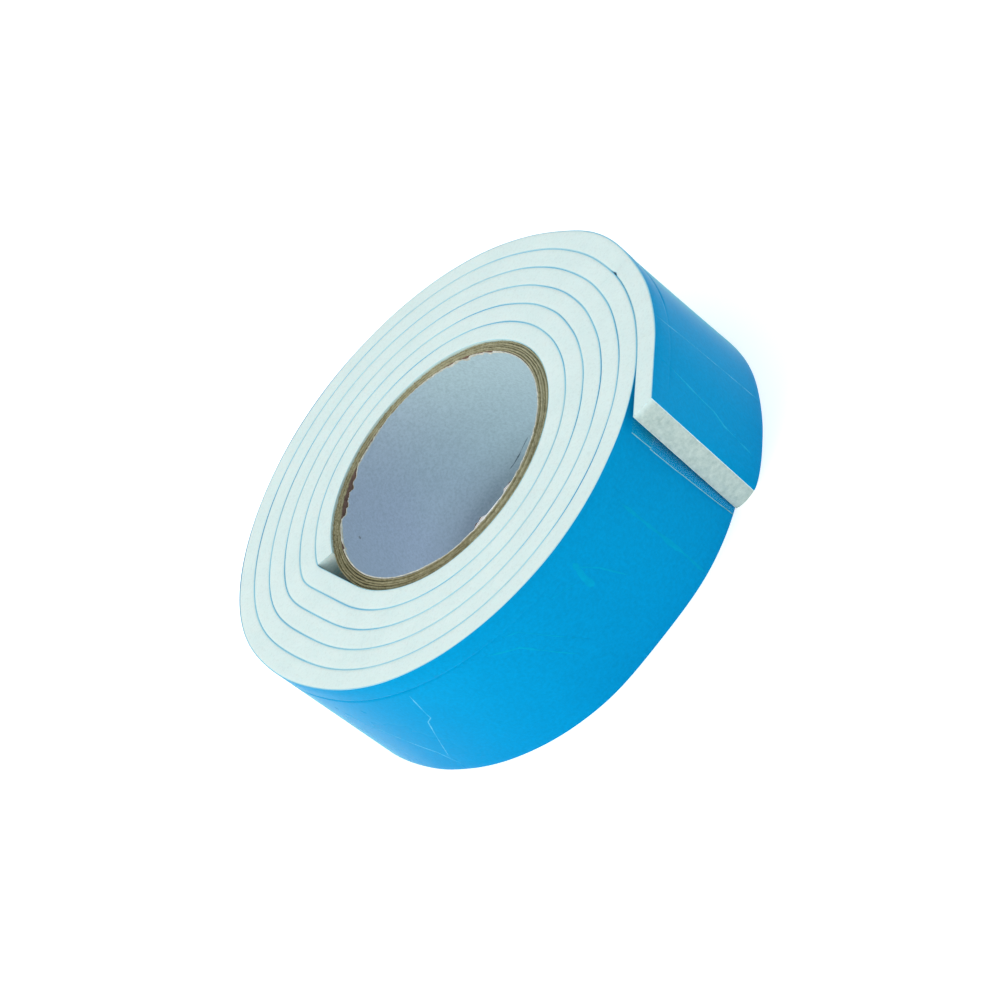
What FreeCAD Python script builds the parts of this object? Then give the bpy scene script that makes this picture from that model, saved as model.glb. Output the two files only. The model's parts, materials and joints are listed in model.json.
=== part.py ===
"""Roll of double-sided foam mounting tape, lying on its side.

The tape is a white closed-cell foam strip with a coat of adhesive on both faces and a
thin blue release liner on its outer face. It is wound clockwise, seen from above, on a
spiral-wound paper core, and its free end stands a little off the turn below it.

Frame: millimetres, origin on the axis of the bore at the face the roll lies on,
+Z along the bore. Angles are degrees from +X, counted anticlockwise from above.
"""

import FreeCAD, Part

import math
import os

import Sketcher
from FreeCAD import Placement, Rotation, Vector

DIMENSIONS = {
    # paper core
    "bore_radius": 19.1,
    "lining_thickness": 0.15,
    "ply_thickness": 0.39,
    "core_length": 23.8,
    # tape, as it comes off the roll
    "tape_width": 24.0,
    "foam_thickness": 3.0,
    "adhesive_thickness": 0.06,
    "liner_thickness": 0.08,
    # winding
    "start_angle": 159.0,
    "tail_angle": 350.0,
    "tail_gap": 0.05,
    # the bent part of the loose tail, and its straight end
    "bend_angle": 10.3,
    "end_length": 10.8,
    "end_bevel": 1.8,
    # where the liner flap at the very end of the tail begins
    "flap_start": 0.9,
    # clear starter film under the end
    "film_thickness": 0.05,
    "film_start": 6.5,
    "film_front_reach": 14.0,
    "film_back_reach": 12.2,
    "patch_back_reach": 12.45,
    "patch_front_reach": 13.95,
    "patch_height": 19.6,
}
PLY_COUNT = 5
FULL_TURNS = 5
BENDS = 3

document = FreeCAD.newDocument("foam_tape_roll")
sheet = document.addObject("Spreadsheet::Sheet", "Sizes")
for row, (alias, value) in enumerate(DIMENSIONS.items(), start=1):
    sheet.set(f"A{row}", alias)
    sheet.set(f"B{row}", str(value))
    sheet.setAlias(f"B{row}", alias)
document.recompute()

CORE_RADIUS = f"Sizes.bore_radius + Sizes.lining_thickness + {PLY_COUNT} * Sizes.ply_thickness"
TAPE_THICKNESS = "Sizes.foam_thickness + 2 * Sizes.adhesive_thickness + Sizes.liner_thickness"
TAIL_RADIUS = f"{CORE_RADIUS} + {FULL_TURNS} * ({TAPE_THICKNESS}) + Sizes.tail_gap"

# Each layer of the tape: where it starts above the tape's inner face, and how thick it is.
LAYERS = {
    "inner_adhesive": ("0", "Sizes.adhesive_thickness"),
    "foam": ("Sizes.adhesive_thickness", "Sizes.foam_thickness"),
    "outer_adhesive": (
        "Sizes.adhesive_thickness + Sizes.foam_thickness",
        "Sizes.adhesive_thickness",
    ),
    "liner": (
        "2 * Sizes.adhesive_thickness + Sizes.foam_thickness",
        "Sizes.liner_thickness",
    ),
}

subparts = []


def size(expression):
    """The number an expression of the sheet's cells stands for."""
    return float(sheet.evalExpression(expression))


def polar(radius, angle):
    """Point at this distance from the bore's axis, in this direction."""
    direction = math.radians(angle)
    return Vector(radius * math.cos(direction), radius * math.sin(direction), 0)


def new_body(label):
    """Empty body, noted as one of the sub-parts."""
    body = document.addObject("PartDesign::Body", label)
    body.Label = label
    subparts.append(body)
    return body


def new_sketch(body, plane):
    """Empty sketch on one of the body's own origin planes."""
    sketch = body.newObject("Sketcher::SketchObject", f"{body.Name}_sketch")
    origin_plane = next(f for f in body.Origin.OriginFeatures if f.Role == plane)
    sketch.AttachmentSupport = [(origin_plane, "")]
    sketch.MapMode = "FlatFace"
    return sketch


def join_ends(sketch, count):
    """Ties each edge's end to the next edge's start, round a closed outline."""
    for edge in range(count):
        sketch.addConstraint(Sketcher.Constraint("Coincident", edge, 2, (edge + 1) % count, 1))


def draw_polygon(sketch, corners, names):
    """Closed polygon whose corners are pinned to pairs of expressions, x and y."""
    points = [Vector(size(x), size(y), 0) for x, y in corners]
    count = len(points)
    for index, point in enumerate(points):
        sketch.addGeometry(Part.LineSegment(point, points[(index + 1) % count]), False)
    join_ends(sketch, count)
    for index, (corner, name) in enumerate(zip(corners, names)):
        for axis, kind, expression in zip("xy", ("DistanceX", "DistanceY"), corner):
            distance = size(expression)
            label = f"{name}_{axis}"
            constraint = Sketcher.Constraint(kind, -1, 1, index, 1, distance)
            number = sketch.addConstraint(constraint)
            sketch.renameConstraint(number, label)
            sketch.setExpression(f"Constraints.{label}", expression)


def ring(label, inner, thickness, length, sweep="360", turned=0.0):
    """Ring, or a sector of one, round the Z axis: a rectangle revolved about it."""
    body = new_body(label)
    sketch = new_sketch(body, "XZ_Plane")
    outer = f"{inner} + {thickness}"
    corners = [(inner, "0"), (outer, "0"), (outer, length), (inner, length)]
    draw_polygon(sketch, corners, ["inner_foot", "outer_foot", "outer_top", "inner_top"])
    revolution = body.newObject("PartDesign::Revolution", f"{label}_revolution")
    revolution.Profile = sketch
    revolution.ReferenceAxis = (sketch, ["V_Axis"])
    revolution.setExpression("Angle", sweep)
    body.Placement = Placement(Vector(), Rotation(Vector(0, 0, 1), turned))
    return body


def arc(centre, radius, low, high):
    """Arc in the XY plane, anticlockwise from the low angle to the high one."""
    circle = Part.Circle(centre, Vector(0, 0, 1), radius)
    return Part.ArcOfCircle(circle, math.radians(low), math.radians(high))


def winding_line(offset):
    """Line wound round the core at this height above the tape's inner face.

    Every turn follows the core, or the turn below, as a circle. Where it reaches the cut
    start of the tape, which stands up as a step, it goes straight over the gap in front
    of the step, tangent to the circle, and then bends round the step's outer corner.
    """
    core = size(CORE_RADIUS)
    pitch = size(TAPE_THICKNESS)
    start = size("Sizes.start_angle")
    step = math.degrees(math.acos(core / (core + pitch)))
    corner = polar(core + pitch, start)
    leave = start + step
    edges = []
    for turn in range(FULL_TURNS):
        height = turn * pitch + offset
        edges.append(arc(Vector(), core + height, leave - 360, start))
        edges.append(Part.LineSegment(polar(core + height, leave), corner + polar(height, leave)))
        if height > 0:
            edges.append(arc(corner, height, start, leave))
    last_radius = core + FULL_TURNS * pitch + offset
    edges.append(arc(Vector(), last_radius, size("Sizes.tail_angle") - 360, start))
    return edges


def wound_layer(label, inner, thickness):
    """One layer of the tape, from its cut start to where the loose tail begins."""
    body = new_body(label)
    sketch = new_sketch(body, "XY_Plane")
    offsets = size(inner), size(f"{inner} + {thickness}")
    cuts = {
        "Sizes.start_angle": CORE_RADIUS,
        "Sizes.tail_angle": f"{CORE_RADIUS} + {FULL_TURNS} * ({TAPE_THICKNESS})",
    }
    for angle, radius in cuts.items():
        ends = [polar(size(radius) + offset, size(angle)) for offset in offsets]
        sketch.addGeometry(Part.LineSegment(*ends), False)
    for offset in offsets:
        sketch.addGeometry(winding_line(offset), False)
    pad = body.newObject("PartDesign::Pad", f"{label}_pad")
    pad.Profile = sketch
    pad.setExpression("Length", "Sizes.tape_width")
    return body


def straight_frame(body):
    """Puts a body at the straight end of the tail: X outwards, -Y towards the free end."""
    angle = size("Sizes.tail_angle") - BENDS * size("Sizes.bend_angle")
    body.Placement = Placement(Vector(), Rotation(Vector(0, 0, 1), angle))


def straight_layer(label, inner, thickness, near="0", far=None):
    """Stretch of one layer of the straight end, cut square or along the end's bevel."""
    body = new_body(label)
    sketch = new_sketch(body, "XY_Plane")
    heights = [inner, f"{inner} + {thickness}"]
    bevel = f"Sizes.end_bevel / ({TAPE_THICKNESS})"
    ends = [far or f"Sizes.end_length - {bevel} * ({height})" for height in heights]
    x_low, x_high = (f"{TAIL_RADIUS} + {height}" for height in heights)
    corners = [(x_low, f"-({near})"), (x_high, f"-({near})")]
    corners += [(x_high, f"-({ends[1]})"), (x_low, f"-({ends[0]})")]
    draw_polygon(sketch, corners, ["inner_root", "outer_root", "outer_end", "inner_end"])
    pad = body.newObject("PartDesign::Pad", f"{label}_pad")
    pad.Profile = sketch
    pad.setExpression("Length", "Sizes.tape_width")
    straight_frame(body)
    return body


def film_piece(label, depth, height):
    """Thin film, this many films below the tail's end, whose free edge runs at a slant."""
    body = new_body(label)
    sketch = new_sketch(body, "YZ_Plane")
    kind = label.split("_")[-1]
    corners = [("-Sizes.film_start", "0"), ("-Sizes.film_start", height)]
    corners += [(f"-Sizes.{kind}_front_reach", height), (f"-Sizes.{kind}_back_reach", "0")]
    draw_polygon(sketch, corners, ["root_foot", "root_top", "edge_top", "edge_foot"])
    pad = body.newObject("PartDesign::Pad", f"{label}_pad")
    pad.Profile = sketch
    pad.setExpression("Length", "Sizes.film_thickness")
    straight_frame(body)
    slide = f"{TAIL_RADIUS} - {depth} * Sizes.film_thickness"
    body.Placement = body.Placement.multiply(Placement(Vector(size(slide), 0, 0), Rotation()))
    return body


# Core: a white paper lining inside five plies of brown paper.
ring("core_lining", "Sizes.bore_radius", "Sizes.lining_thickness", "Sizes.core_length")
for ply in range(PLY_COUNT):
    ply_radius = f"Sizes.bore_radius + Sizes.lining_thickness + {ply} * Sizes.ply_thickness"
    ring(f"core_ply_{ply + 1}", ply_radius, "Sizes.ply_thickness", "Sizes.core_length")

# Wound tape, then the bent stretches of the loose tail, one after the other.
for layer, (inner_face, layer_thickness) in LAYERS.items():
    wound_layer(f"{layer}_wound", inner_face, layer_thickness)
for bend in range(1, BENDS + 1):
    far_angle = size("Sizes.tail_angle") - bend * size("Sizes.bend_angle")
    for layer, (inner_face, layer_thickness) in LAYERS.items():
        ring(
            f"{layer}_tail_{bend}",
            f"{TAIL_RADIUS} + {inner_face}",
            layer_thickness,
            "Sizes.tape_width",
            "Sizes.bend_angle",
            far_angle,
        )

# Straight end of the tail. Its liner is fixed only at the root: the rest peels off.
END = BENDS + 1
for layer, (inner_face, layer_thickness) in LAYERS.items():
    reach = "Sizes.flap_start" if layer == "liner" else None
    straight_layer(f"{layer}_tail_{END}", inner_face, layer_thickness, far=reach)
straight_layer("liner_flap", *LAYERS["liner"], near="Sizes.flap_start")

# Clear film that keeps the end from sticking down: one piece, and a second over most of it.
film_piece("starter_film", 1, "Sizes.tape_width")
film_piece("starter_patch", 2, "Sizes.patch_height")

document.recompute()
for item in document.Objects:
    if "Invalid" in item.State or "Error" in item.State:
        raise RuntimeError(f"{item.Name} did not build: {item.State}")

os.makedirs("parts", exist_ok=True)
for body in subparts:
    shape = body.Shape
    if shape.isNull() or not shape.isValid() or len(shape.Solids) != 1:
        raise RuntimeError(f"{body.Label} is not one valid solid")
    shape.exportStep(f"parts/{body.Label}.step")
    print(f"{body.Label:24s} {shape.Volume:10.2f} mm3")
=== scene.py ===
"""Looks of a roll of double-sided foam mounting tape lying on its side.

Lengths are millimetres until a mesh is written in metres; the materials, the floor and the
lights are in metres. Angles are degrees. The tape is followed by its winding angle, clockwise
from its cut start on the core, and by the height of a point above the tape's inner face. Every
layer goes through the same formula, so neighbouring layers and turns keep the same boundary.
"""

import json
import math

import bmesh
import bpy
import numpy as np
from mathutils import Matrix, Vector


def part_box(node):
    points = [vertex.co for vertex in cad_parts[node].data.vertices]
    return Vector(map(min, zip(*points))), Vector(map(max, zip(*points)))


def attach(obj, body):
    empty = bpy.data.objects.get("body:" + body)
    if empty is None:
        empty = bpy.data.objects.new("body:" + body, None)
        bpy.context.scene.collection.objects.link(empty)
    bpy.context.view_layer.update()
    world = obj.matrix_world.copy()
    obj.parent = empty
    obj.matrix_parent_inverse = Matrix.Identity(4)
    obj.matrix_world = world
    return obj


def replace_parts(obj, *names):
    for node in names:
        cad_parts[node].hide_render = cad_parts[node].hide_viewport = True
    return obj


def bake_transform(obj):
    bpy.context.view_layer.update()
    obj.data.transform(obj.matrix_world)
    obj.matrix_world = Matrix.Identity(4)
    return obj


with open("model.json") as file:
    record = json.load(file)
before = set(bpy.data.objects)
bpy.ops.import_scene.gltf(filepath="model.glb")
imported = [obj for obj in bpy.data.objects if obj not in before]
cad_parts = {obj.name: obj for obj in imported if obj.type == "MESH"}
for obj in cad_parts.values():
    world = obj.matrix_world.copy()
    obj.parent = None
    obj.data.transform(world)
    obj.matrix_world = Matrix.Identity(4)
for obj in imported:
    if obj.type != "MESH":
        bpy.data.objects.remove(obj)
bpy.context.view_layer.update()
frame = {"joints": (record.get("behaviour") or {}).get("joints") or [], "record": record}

MM = 0.001

# Sizes of the paper core and of the tape, as the CAD model has them.
LINING = 0.15
PLY = 0.39
PLY_COUNT = 5
BORE_RADIUS = frame["record"]["mounts"][0]["dims"]["r_mm"]
CORE_LENGTH = frame["record"]["mounts"][0]["dims"]["length_mm"]
CORE_RADIUS = BORE_RADIUS + LINING + PLY_COUNT * PLY
TAPE_WIDTH = round(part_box("foam_wound")[1].z / MM, 3)
ADHESIVE = 0.06
FOAM = 3.0
LINER = 0.08
PITCH = FOAM + 2 * ADHESIVE + LINER
LAYERS = {
    "inner_adhesive": (0.0, ADHESIVE),
    "foam": (ADHESIVE, ADHESIVE + FOAM),
    "outer_adhesive": (ADHESIVE + FOAM, FOAM + 2 * ADHESIVE),
    "liner": (FOAM + 2 * ADHESIVE, PITCH),
}

# About how far the outer turns are from the bore's axis.
OUTER_RADIUS = 40.0

# Winding: five turns over the step of the cut start, and part of a sixth to the tail.
START_ANGLE = 159.0
FULL_TURNS = 5
HINGES = [j for j in frame["joints"] if j["name"].startswith("tail_bend")]
TAIL_GAP = 0.05
BEND_ANGLE = 10.3
TAIL_START = 360 * FULL_TURNS + START_ANGLE + 10
TAIL_END = TAIL_START + 3 * BEND_ANGLE
END_DIRECTION = math.radians(START_ANGLE - TAIL_END)
END_OUT = Vector((math.cos(END_DIRECTION), math.sin(END_DIRECTION), 0))
END_WAY = Vector((math.sin(END_DIRECTION), -math.cos(END_DIRECTION), 0))

# Straight end of the tail. Its back edge hugs the roll, so the end is twisted.
END_LENGTH = 10.8
END_BEVEL = 1.8
BACK_SHORTER = 0.75
BACK_DROP = 1.2
CUT_BULGE = 0.5
FLAP_START = 0.9

# Line pressed into the outer turn, near the upper face.
GROOVE_HEIGHT = 20.72
GROOVE_DEPTH = 0.13
GROOVE_WIDTH = 0.17

# Clear film stuck under the tail's end, and the hazier patch below its upper part.
FILM_START = 6.5
FILM_THICK = 0.04
FILM_ROWS = 49
FILM_COLUMNS = 31
FILM_RIM = 0.014
FILM_TOP = TAPE_WIDTH - 0.05
PATCH_TOP = 19.6


# ---------------------------------------------------------------- tape geometry


def hump(value, centre, width):
    """Smooth bump of height 1 at the centre, and next to nothing two widths away."""
    return np.exp(-(((value - centre) / width) ** 2))


def ease(value, low, high):
    """Smooth step from 0 at the low value to 1 at the high one."""
    share = np.clip((value - low) / (high - low), 0, 1)
    return share * share * (3 - 2 * share)


def step_rise(turn_angle, height):
    """How far a line at this height is pushed out by the cut start, taut over the step."""
    before, after = turn_angle < 0, turn_angle >= 360
    angle = np.where(before, turn_angle + 360, np.where(after, turn_angle - 360, turn_angle))
    level = np.where(before, height - PITCH, np.where(after, height + PITCH, height))
    level = np.maximum(level, 0)
    corner = CORE_RADIUS + PITCH
    reach = math.acos(CORE_RADIUS / corner)
    straight = math.sqrt(corner**2 - CORE_RADIUS**2)
    turned = np.clip(np.radians(angle) - (2 * math.pi - reach), 0, reach)
    on_line = (CORE_RADIUS + level) / np.cos(turned)
    along = CORE_RADIUS * np.cos(turned) + straight * np.sin(turned)
    on_arc = along + np.sqrt(np.maximum(along**2 - corner**2 + level**2, 0))
    past = (CORE_RADIUS + level) * np.tan(turned) > straight
    rise = np.where(past, on_arc, on_line) - CORE_RADIUS - level
    first = (height / PITCH) ** 2
    shift = np.where(before, -PITCH, np.where(after, PITCH, 0.0))
    fade = np.where(before & (height < PITCH), first, 1.0)
    return (rise + shift) * fade


def smoothed_rise(turn_angle, height):
    """The same rise, rounded more and more the further out the line is."""
    spread = np.maximum(0.6 * (height + PITCH * turn_angle / 360) - 0.5, 0.3)
    offsets = np.linspace(-2.4, 2.4, 13)
    weights = np.exp(-offsets**2 / 2)
    weights /= weights.sum()
    return sum(w * step_rise(turn_angle + o * spread, height) for o, w in zip(offsets, weights))


def slackness(turn_angle, height):
    """Small unevenness of the winding: a soft spot in the outer turns, and a faint ripple."""
    levels = [0, 6.4, 12.8, 16.0, 19.2]
    soft = np.interp(height, levels, [0, 0, 0.11, 0.22, -0.14])
    over_start = np.interp(height, levels, [0, 0, 0, 0.2, 0.2])
    calm = np.sin(np.radians(turn_angle / 2)) ** 2
    turn = np.radians(turn_angle)
    ripple = np.sin(5 * turn + 0.31 * height) + np.sin(11 * turn - 0.47 * height)
    ripple += 0.7 * np.sin(23 * turn + 0.9 * height)
    grown = np.interp(height, [0, 6.4], [0, 1])
    slack = soft * hump(turn_angle, 85, 45) + over_start * hump(turn_angle, 333, 10)
    return slack + 0.028 * ripple * calm * grown


def radius_at(winding, height, z):
    """Distance from the bore's axis of a point of the tape."""
    turn = np.minimum(np.floor(winding / 360), FULL_TURNS)
    turn_angle = winding - 360 * turn
    level = PITCH * turn + height
    radius = CORE_RADIUS + level + smoothed_rise(turn_angle, level) + slackness(turn_angle, level)
    tail = ease(winding, TAIL_START - 2, TAIL_START + 5)
    pocket = hump(winding, TAIL_START, 0.9) * np.clip(1 - height / 1.6, 0, 1)
    pocket = pocket * ease(z, TAPE_WIDTH - 5, TAPE_WIDTH - 1)
    return radius + TAIL_GAP * tail + 0.32 * pocket


def groove_depth(winding, along, height, z):
    """Line pressed into the outer turn all round, near the upper face."""
    middle = GROOVE_HEIGHT + 0.08 * np.sin(np.radians(3 * winding))
    depth = GROOVE_DEPTH * hump(z, middle, GROOVE_WIDTH)
    fade = ease(winding, 1440, 1480) * (1 - 0.8 * ease(winding, 1979, 1988)) * (1 - ease(along, 3, 8))
    shallow = 1 - 0.8 * ease(winding, 1600, 1640) * (1 - ease(winding, 1690, 1730))
    return depth * ease(height, 1.6, FOAM) * fade * shallow


def lower_edge_shift(winding, height, z):
    """How far the outer turns stand in or out at their lower edge: tucked in below the tail."""
    level = PITCH * np.minimum(np.floor(winding / 360), FULL_TURNS) + height
    angle = (START_ANGLE - winding) % 360
    tucked = 0.2 * ease(angle, 200, 212) * (1 - ease(angle, 280, 296)) + 0.92 * hump(angle, 270, 13)
    tucked = tucked * ease(level, 12.8, 16.0) * (winding < TAIL_START - 120)
    lifted = 0.45 * hump(angle, 345, 14) * (winding > TAIL_START - 60)
    return (lifted - tucked) * np.clip(1 - z / TAPE_WIDTH, 0, 1) ** 1.6


def swelling(winding, height, z):
    """How far the last turn's foam swells where it comes off the roll, most at its upper lip."""
    angle = (START_ANGLE - winding + 180) % 360 - 180
    lip = 0.25 + 0.2 * ease(z, 20.8, 22.5)
    return lip * hump(angle, 5, 12) * height / PITCH * (winding > TAIL_START - 60)


def tape_points(winding, along, height, z):
    """Points of the tape. Along is the distance down the straight end, past its bends."""
    winding, along, height, z = np.broadcast_arrays(winding, along, height, z)
    share = np.clip(along / END_LENGTH, 0, None)
    back = 1 - z / TAPE_WIDTH
    radius = radius_at(winding, height, z) - groove_depth(winding, along, height, z)
    radius = radius + lower_edge_shift(winding, height, z) + swelling(winding, height, z)
    radius = radius - BACK_DROP * back * share**2
    level = height / PITCH
    cut = END_BEVEL * level + BACK_SHORTER * back - 4 * CUT_BULGE * level * (1 - level) * back
    distance = along - cut * np.minimum(share, 1) ** 3
    direction = np.radians(START_ANGLE - winding)
    cosine, sine = np.cos(direction), np.sin(direction)
    x = radius * cosine + distance * sine
    y = radius * sine - distance * cosine
    return np.stack([x, y, z], -1)


# ---------------------------------------------------------------- mesh helpers


def signed_volume(mesh):
    """Volume inside a closed mesh, below zero where its faces look inwards."""
    solid = bmesh.new()
    solid.from_mesh(mesh)
    volume = solid.calc_volume(signed=True)
    solid.free()
    return volume


def finish_mesh(name, verts, faces, smooth_angle):
    """Object from points in millimetres, with normals outwards and smooth where it is round."""
    mesh = bpy.data.meshes.new(name)
    mesh.from_pydata((np.asarray(verts) * MM).tolist(), [], faces)
    mesh.validate()
    if signed_volume(mesh) < 0:
        mesh.flip_normals()
    mesh.polygons.foreach_set("use_smooth", [True] * len(mesh.polygons))
    mesh.set_sharp_from_angle(angle=math.radians(smooth_angle))
    mesh.update()
    piece = bpy.data.objects.new(name, mesh)
    bpy.context.scene.collection.objects.link(piece)
    return piece


def section_grid(low, high, rows, round_edge, columns):
    """Grid of (height, z) over a layer's cross-section, with its four edges rounded."""
    thick = high - low
    share = np.linspace(0, 1, columns + 1)
    edge = min(round_edge, thick * 0.3)
    inner = [0, 0.3 * edge, edge]
    heights = np.array(inner + list(edge + share[1:-1] * (thick - 2 * edge)))
    heights = np.concatenate([heights, thick - np.array(inner[::-1])])
    middle = [z for z in rows if edge * 1.5 < z < TAPE_WIDTH - edge * 1.5]
    levels = np.array(inner + middle + [TAPE_WIDTH - e for e in inner[::-1]])
    t, z = np.meshgrid(heights, levels, indexing="ij")
    from_side = np.minimum(t, thick - t)
    from_face = np.minimum(z, TAPE_WIDTH - z)
    a, b = edge - from_side, edge - from_face
    near = (a > 0) & (b > 0)
    length = np.hypot(a, b)
    pull = np.where(near, np.maximum(a, b) / np.where(length > 0, length, 1), 1.0)
    side = np.where(t < thick / 2, edge - a * pull, thick - edge + a * pull)
    face = np.where(z < TAPE_WIDTH / 2, edge - b * pull, TAPE_WIDTH - edge + b * pull)
    t = np.where(near, side, t)
    z = np.where(near, face, z)
    return t + low, z


def loop_of(grid):
    """Indices of a grid's border, once round."""
    n, m = grid
    border = [(0, j) for j in range(m - 1)] + [(i, m - 1) for i in range(n - 1)]
    border += [(n - 1, j) for j in range(m - 1, 0, -1)] + [(i, 0) for i in range(n - 1, 0, -1)]
    return border


def swept_strip(name, stations, section, end_roughness, seed, lift):
    """Closed stretch of one layer through these stations, each a (winding, along) pair.

    Lift moves its upper edge up or down along the winding.
    """
    t, z = section
    n, m = t.shape
    border = loop_of((n, m))
    bt = np.array([t[i, j] for i, j in border])
    bz = np.array([z[i, j] for i, j in border])
    count = len(border)
    winding = np.array([s[0] for s in stations])[:, None]
    along = np.array([s[1] for s in stations])[:, None]
    zs = np.broadcast_to(bz, (len(stations), count))
    zs = zs + lift(winding) * (bz > TAPE_WIDTH - 1)
    points = tape_points(winding, along, bt, zs)
    verts = list(points.reshape(-1, 3))
    faces = []
    for s in range(len(stations) - 1):
        for k in range(count):
            near, far = s * count, (s + 1) * count
            faces.append((near + k, near + (k + 1) % count, far + (k + 1) % count, far + k))
    random = np.random.default_rng(seed)
    for s, sign in ((0, -1), (len(stations) - 1, 1)):
        index = {ij: s * count + k for k, ij in enumerate(border)}
        inside = [(i, j) for i in range(1, n - 1) for j in range(1, m - 1)]
        if inside:
            it = np.array([t[i, j] for i, j in inside])
            iz = np.array([z[i, j] for i, j in inside])
            bump = end_roughness * random.normal(size=len(inside))
            out = np.clip(bump, -2 * end_roughness, 2 * end_roughness)
            if stations[s][1] > 0:
                spots = tape_points(stations[s][0], stations[s][1] + out, it, iz)
            else:
                turn = np.degrees(out / OUTER_RADIUS)
                spots = tape_points(stations[s][0] + sign * turn, 0.0, it, iz)
            for ij, p in zip(inside, spots):
                index[ij] = len(verts)
                verts.append(p)
        for i in range(n - 1):
            for j in range(m - 1):
                quad = [index[(i, j)], index[(i + 1, j)], index[(i + 1, j + 1)], index[(i, j + 1)]]
                faces.append(tuple(quad if sign < 0 else quad[::-1]))
    return finish_mesh(name, verts, faces, 32)


def angles(start, end, step):
    """Stations of the winding from one angle to another, both included."""
    count = max(1, math.ceil((end - start) / step))
    return [(float(a), 0.0) for a in np.linspace(start, end, count + 1)]


def straight(start, end, step):
    """Stations down the straight end of the tail."""
    count = max(1, math.ceil((end - start) / step))
    return [(TAIL_END, float(s)) for s in np.linspace(start, end, count + 1)]


def z_rows(coarse):
    """Heights of a strip's rows: even, and close together at the pressed line."""
    rows = list(np.arange(coarse, TAPE_WIDTH - 1, coarse))
    rows = [r for r in rows if abs(r - GROOVE_HEIGHT) > 0.7]
    return sorted(rows + list(np.arange(GROOVE_HEIGHT - 0.6, GROOVE_HEIGHT + 0.61, 0.12)))


# ---------------------------------------------------------------- materials


class Nodes:
    """Short way to build a material's node tree."""

    def __init__(self, name, roughness, specular):
        self.material = bpy.data.materials.new(name)
        self.material.use_nodes = True
        self.tree = self.material.node_tree
        self.shader = self.tree.nodes["Principled BSDF"]
        self.shader.inputs["Roughness"].default_value = roughness
        self.shader.inputs["Specular IOR Level"].default_value = specular
        self.place = self.tree.nodes.new("ShaderNodeTexCoord").outputs["Object"]

    def link(self, source, target):
        """Joins two sockets."""
        self.tree.links.new(source, target)

    def noise(self, scale, detail=3.0, rough=0.5, place=None):
        """Cloudy pattern: the larger the scale, the finer it is."""
        node = self.tree.nodes.new("ShaderNodeTexNoise")
        node.inputs["Scale"].default_value = scale
        node.inputs["Detail"].default_value = detail
        node.inputs["Roughness"].default_value = rough
        self.link(place or self.place, node.inputs["Vector"])
        return node.outputs["Fac"]

    def cells(self, scale):
        """Distance to the nearest of many scattered points."""
        node = self.tree.nodes.new("ShaderNodeTexVoronoi")
        node.inputs["Scale"].default_value = scale
        self.link(self.place, node.inputs["Vector"])
        return node.outputs["Distance"]

    def stretch(self, x, y, z):
        """Coordinates stretched along the three axes."""
        node = self.tree.nodes.new("ShaderNodeMapping")
        node.inputs["Scale"].default_value = (x, y, z)
        self.link(self.place, node.inputs["Vector"])
        return node.outputs["Vector"]

    def ramp(self, source, *stops):
        """Colour ramp through these (position, colour) stops."""
        node = self.tree.nodes.new("ShaderNodeValToRGB")
        elements = node.color_ramp.elements
        while len(elements) < len(stops):
            elements.new(0.5)
        for element, (position, colour) in zip(elements, stops):
            element.position = position
            element.color = (*colour, 1.0)
        self.link(source, node.inputs["Fac"])
        return node.outputs["Color"]

    def maths(self, operation, a, b=None, c=None, clamp=False):
        """One maths node on sockets or numbers."""
        node = self.tree.nodes.new("ShaderNodeMath")
        node.operation = operation
        node.use_clamp = clamp
        for slot, value in zip(node.inputs, (a, b, c)):
            if value is None:
                continue
            if isinstance(value, (int, float)):
                slot.default_value = value
            else:
                self.link(value, slot)
        return node.outputs[0]

    def mix(self, share, a, b, blend="MIX"):
        """Mixes two colours, each a socket or a constant."""
        node = self.tree.nodes.new("ShaderNodeMix")
        node.data_type = "RGBA"
        node.blend_type = blend
        for slot, value in ((node.inputs[0], share), (node.inputs[6], a), (node.inputs[7], b)):
            if isinstance(value, (int, float)):
                slot.default_value = value
            elif isinstance(value, tuple):
                slot.default_value = (*value, 1.0)
            else:
                self.link(value, slot)
        return node.outputs[2]

    def coordinate(self, axis):
        """One coordinate of the point being shaded."""
        node = self.tree.nodes.new("ShaderNodeSeparateXYZ")
        self.link(self.place, node.inputs[0])
        return node.outputs[axis]

    def radius(self):
        """Distance from the bore's axis."""
        x, y = self.coordinate("X"), self.coordinate("Y")
        squares = self.maths("ADD", self.maths("MULTIPLY", x, x), self.maths("MULTIPLY", y, y))
        return self.maths("SQRT", squares)

    def bump(self, source, distance, strength=1.0):
        """Fine relief too small to model, at most this high."""
        node = self.tree.nodes.new("ShaderNodeBump")
        node.inputs["Distance"].default_value = distance
        node.inputs["Strength"].default_value = strength
        self.link(source, node.inputs["Height"])
        self.link(node.outputs["Normal"], self.shader.inputs["Normal"])

    def colour(self, source):
        """Sets the base colour and hands the finished material back."""
        self.link(source, self.shader.inputs["Base Color"])
        return self.material


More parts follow.
